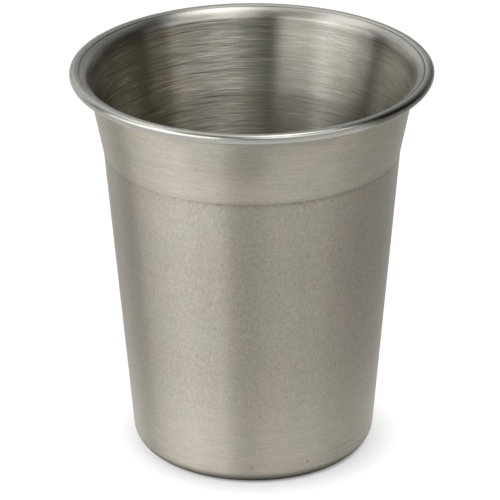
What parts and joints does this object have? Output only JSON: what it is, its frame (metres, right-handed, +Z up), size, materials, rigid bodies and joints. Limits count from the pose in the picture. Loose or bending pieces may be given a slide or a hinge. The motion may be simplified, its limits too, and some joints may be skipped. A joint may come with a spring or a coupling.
{
  "type": "julep cup",
  "caption": "Tapered stainless steel drinking cup with a flared mouth, a rim band round it, a rounded bottom corner and a raised panel under the foot.",
  "frame": {"origin": "centre of the ring that the cup stands on, at table level", "axes": "+Z up along the cup's axis, out of the mouth; X and Y level, with no preferred direction because the cup is round"},
  "size_m": [0.089, 0.089, 0.0996],
  "materials": {
    "satin_steel": "satin outside, coarse brushing round the inside",
    "polished_rim": "bright polished"
  },
  "bodies": {
    "root": {"cup_body": "satin_steel", "rim_band": "polished_rim"}
  },
  "joints": []
}
